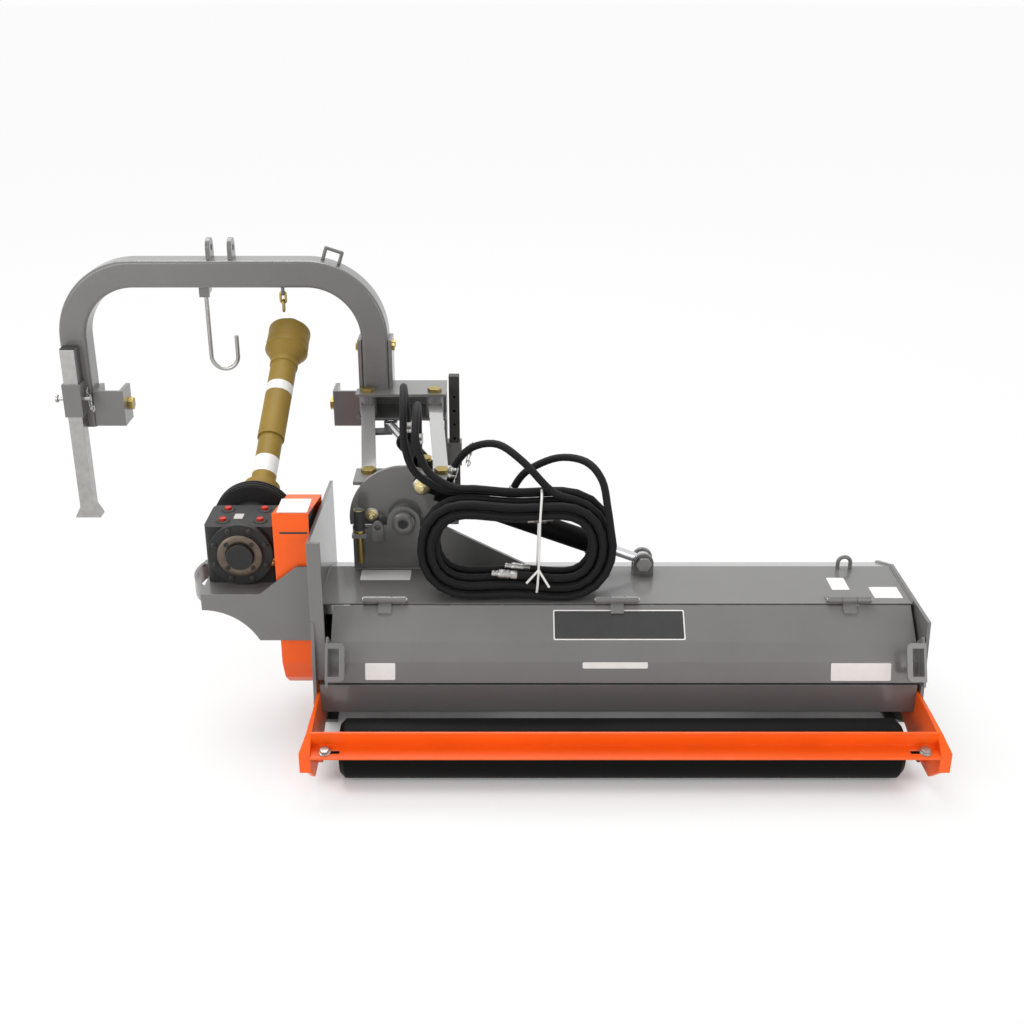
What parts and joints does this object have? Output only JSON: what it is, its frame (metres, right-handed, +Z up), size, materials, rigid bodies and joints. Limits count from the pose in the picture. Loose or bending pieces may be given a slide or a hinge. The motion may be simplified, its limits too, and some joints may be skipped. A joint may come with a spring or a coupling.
{
  "type": "offset flail mower",
  "caption": "Offset tractor flail mower: wide deck with hinged hood, flail rotor and rear roller, on a tilting side-shift linkage with hydraulic cylinders, tube hitch and guarded drive shaft.",
  "frame": {"origin": "ground plane, at the middle of the machine's footprint", "axes": "+Z up, +Y towards the tractor, +X to the right seen from behind"},
  "size_m": [2.3086, 1.1326, 1.0879],
  "materials": {
    "grey_paint": "semi-gloss",
    "orange_paint": "gloss",
    "black_paint": "satin",
    "cast_black": "satin",
    "bare_cast": "matte",
    "zinc": "satin",
    "yellow_zinc": "satin",
    "chrome_rod": "polished",
    "flail_steel": "matte",
    "shaft_steel": "satin",
    "guard_plastic": "matte",
    "black_plastic": "matte",
    "red_plug": "gloss",
    "belt_rubber": "matte",
    "hose_sleeve": "matte",
    "dark_tube": "matte"
  },
  "bodies": {
    "deck": {"housing_shell": "grey_paint", "rear_crossbar": "grey_paint", "left_side_plate": "grey_paint", "right_side_plate": "grey_paint", "skids": "black_paint", "flap_rod": "zinc", "roller_brackets": "orange_paint", "scraper_bar": "orange_paint", "deck_bolts": "zinc", "rotor_bearings": "cast_black", "drive_belts": "belt_rubber", "belt_guard_upper": "orange_paint", "belt_guard_lower": "orange_paint", "gearbox_case": "cast_black", "gearbox_cap": "bare_cast", "gearbox_plugs": "red_plug", "gearbox_shelf": "grey_paint", "drive_bell": "black_plastic", "pivot_bracket": "grey_paint", "deck_pins": "zinc", "deck_lugs": "grey_paint", "input_yoke": "shaft_steel", "hose_leads": "hose_sleeve", "hose_hank": "hose_sleeve", "hose_couplers": "zinc"},
    "flaps": {"front_flaps": "grey_paint"},
    "hood": {"hood_panel": "grey_paint", "hood_handles": "grey_paint"},
    "roller": {"rear_roller": "black_paint"},
    "rotor": {"rotor_drum": "black_paint", "rotor_pulley": "bare_cast"},
    "flail_row_1": {"flails_row_1": "flail_steel"},
    "flail_row_2": {"flails_row_2": "flail_steel"},
    "flail_row_3": {"flails_row_3": "flail_steel"},
    "flail_row_4": {"flails_row_4": "flail_steel"},
    "gear_pulley": {"drive_pulley": "bare_cast"},
    "transport_pin": {"lock_pin": "zinc"},
    "turret_body": {"turret": "grey_paint", "turret_pins": "yellow_zinc"},
    "left_arm": {"left_swing_arm": "grey_paint"},
    "right_arm": {"right_swing_arm": "grey_paint"},
    "arch": {"hitch_arch": "grey_paint", "arm_carrier": "grey_paint", "arch_pins": "yellow_zinc", "hitch_ears": "grey_paint", "arch_lugs": "grey_paint", "leg_pins": "zinc", "shaft_chain": "zinc"},
    "shift_cylinder": {"shift_barrel": "black_paint"},
    "shift_ram": {"shift_rod": "chrome_rod"},
    "tilt_ram": {"tilt_rod": "chrome_rod"},
    "tilt_cylinder": {"tilt_barrel": "black_paint"},
    "left_leg": {"left_parking_leg": "zinc"},
    "right_leg": {"right_parking_leg": "dark_tube"},
    "hook": {"shaft_hook": "zinc"},
    "cross": {"joint_cross": "shaft_steel"},
    "shaft_lower": {"inner_shaft": "shaft_steel", "inner_guard": "guard_plastic"},
    "shaft_upper": {"outer_guard": "guard_plastic", "tractor_yoke": "shaft_steel"}
  },
  "joints": [
    {"name": "flap_swing", "type": "hinge", "parent": "deck", "child": "flaps", "pos_m": [0.3913, 0.17483, 0.186], "axis": [1, 0, 0], "range_deg": [-50, 20]},
    {"name": "hood_lift", "type": "hinge", "parent": "deck", "child": "hood", "pos_m": [0.3913, -0.23217, 0.35683], "axis": [-1, 0, 0], "range_deg": [0, 70]},
    {"name": "roller_turn", "type": "hinge", "parent": "deck", "child": "roller", "pos_m": [0.3913, -0.44217, 0.07], "axis": [1, 0, 0], "continuous": true},
    {"name": "rotor_spin", "type": "hinge", "parent": "deck", "child": "rotor", "pos_m": [0.3913, -0.11217, 0.19], "axis": [1, 0, 0], "continuous": true},
    {"name": "flail_swing_1", "type": "hinge", "parent": "rotor", "child": "flail_row_1", "pos_m": [0.3913, -0.11217, 0.272], "axis": [1, 0, 0], "range_deg": [-60, 60]},
    {"name": "flail_swing_2", "type": "hinge", "parent": "rotor", "child": "flail_row_2", "pos_m": [0.3913, -0.19417, 0.19], "axis": [1, 0, 0], "range_deg": [-60, 60]},
    {"name": "flail_swing_3", "type": "hinge", "parent": "rotor", "child": "flail_row_3", "pos_m": [0.3913, -0.11217, 0.108], "axis": [1, 0, 0], "range_deg": [-60, 60]},
    {"name": "flail_swing_4", "type": "hinge", "parent": "rotor", "child": "flail_row_4", "pos_m": [0.3913, -0.03017, 0.19], "axis": [1, 0, 0], "range_deg": [-60, 60]},
    {"name": "gear_pulley_spin", "type": "hinge", "parent": "deck", "child": "gear_pulley", "pos_m": [-0.3837, -0.15217, 0.477], "axis": [1, 0, 0], "continuous": true},
    {"name": "transport_pin_lift", "type": "slide", "parent": "deck", "child": "transport_pin", "axis": [0, 0, 1], "range_m": [0, 0.06]},
    {"name": "deck_tilt", "type": "hinge", "parent": "deck", "child": "turret_body", "pos_m": [-0.1387, 0.05783, 0.475], "axis": [0, 1, 0], "range_deg": [-30, 45], "deforming": ["hose_leads"]},
    {"name": "side_shift", "type": "hinge", "parent": "turret_body", "child": "left_arm", "pos_m": [-0.2337, 0.07783, 0.53], "axis": [0, 0, 1], "range_deg": [-25, 25], "deforming": ["hose_leads"]},
    {"name": "right_arm_swing", "type": "hinge", "parent": "turret_body", "child": "right_arm", "pos_m": [-0.0437, 0.07783, 0.53], "axis": [0, 0, 1], "range_deg": [-26, 26]},
    {"name": "arch_pivot", "type": "hinge", "parent": "left_arm", "child": "arch", "pos_m": [-0.2687, 0.45783, 0.628], "axis": [0, 0, 1], "range_deg": [-26, 26]},
    {"name": "shift_cylinder_swing", "type": "hinge", "parent": "turret_body", "child": "shift_cylinder", "pos_m": [-0.0837, 0.03583, 0.606], "axis": [0, 0, 1], "range_deg": [-18.63, 18.63]},
    {"name": "shift_ram_stroke", "type": "slide", "parent": "shift_cylinder", "child": "shift_ram", "axis": [-0.3449, 0.9386, 0], "range_m": [-0.05567, 0.05567]},
    {"name": "tilt_ram_swing", "type": "hinge", "parent": "deck", "child": "tilt_ram", "pos_m": [0.4713, -0.04717, 0.377], "axis": [0, 1, 0], "range_deg": [-3.05, 2.2]},
    {"name": "tilt_cylinder_stroke", "type": "slide", "parent": "tilt_ram", "child": "tilt_cylinder", "axis": [-0.9374, 0, 0.3482], "range_m": [-0.08851, 0.05934]},
    {"name": "left_leg_slide", "type": "slide", "parent": "arch", "child": "left_leg", "axis": [0, 0, 1], "range_m": [-0.15, 0.2]},
    {"name": "right_leg_slide", "type": "slide", "parent": "arch", "child": "right_leg", "axis": [0, 0, 1], "range_m": [-0.18, 0.12]},
    {"name": "hook_swing", "type": "hinge", "parent": "arch", "child": "hook", "pos_m": [-0.7197, 0.53883, 0.937], "axis": [0, 1, 0], "range_deg": [-20, 20]},
    {"name": "shaft_swing", "type": "hinge", "parent": "deck", "child": "cross", "pos_m": [-0.5167, -0.00017, 0.477], "axis": [0, 0, 1], "range_deg": [-13, 13]},
    {"name": "shaft_pitch", "type": "hinge", "parent": "cross", "child": "shaft_lower", "pos_m": [-0.5167, -0.00017, 0.477], "axis": [0.9986, -0.0523, 0], "range_deg": [-22, 32]},
    {"name": "shaft_telescope", "type": "slide", "parent": "shaft_lower", "child": "shaft_upper", "axis": [0.0439, 0.8375, 0.5446], "range_m": [0, 0.1]}
  ],
  "couplings": [
    {"joint": "gear_pulley_spin", "follows": "rotor_spin", "ratio": 0.68235},
    {"joint": "right_arm_swing", "follows": "side_shift", "ratio": 1},
    {"joint": "arch_pivot", "follows": "side_shift", "ratio": -1},
    {"joint": "shift_cylinder_swing", "follows": "side_shift", "ratio": 0.72513},
    {"joint": "shift_ram_stroke", "follows": "side_shift", "m_per_rad": 0.12529},
    {"joint": "tilt_ram_swing", "follows": "deck_tilt", "ratio": -0.056707},
    {"joint": "tilt_cylinder_stroke", "follows": "deck_tilt", "m_per_rad": -0.11143},
    {"joint": "shaft_swing", "follows": "side_shift", "ratio": 0.5},
    {"joint": "shaft_pitch", "follows": "deck_tilt", "ratio": 0.7}
  ]
}
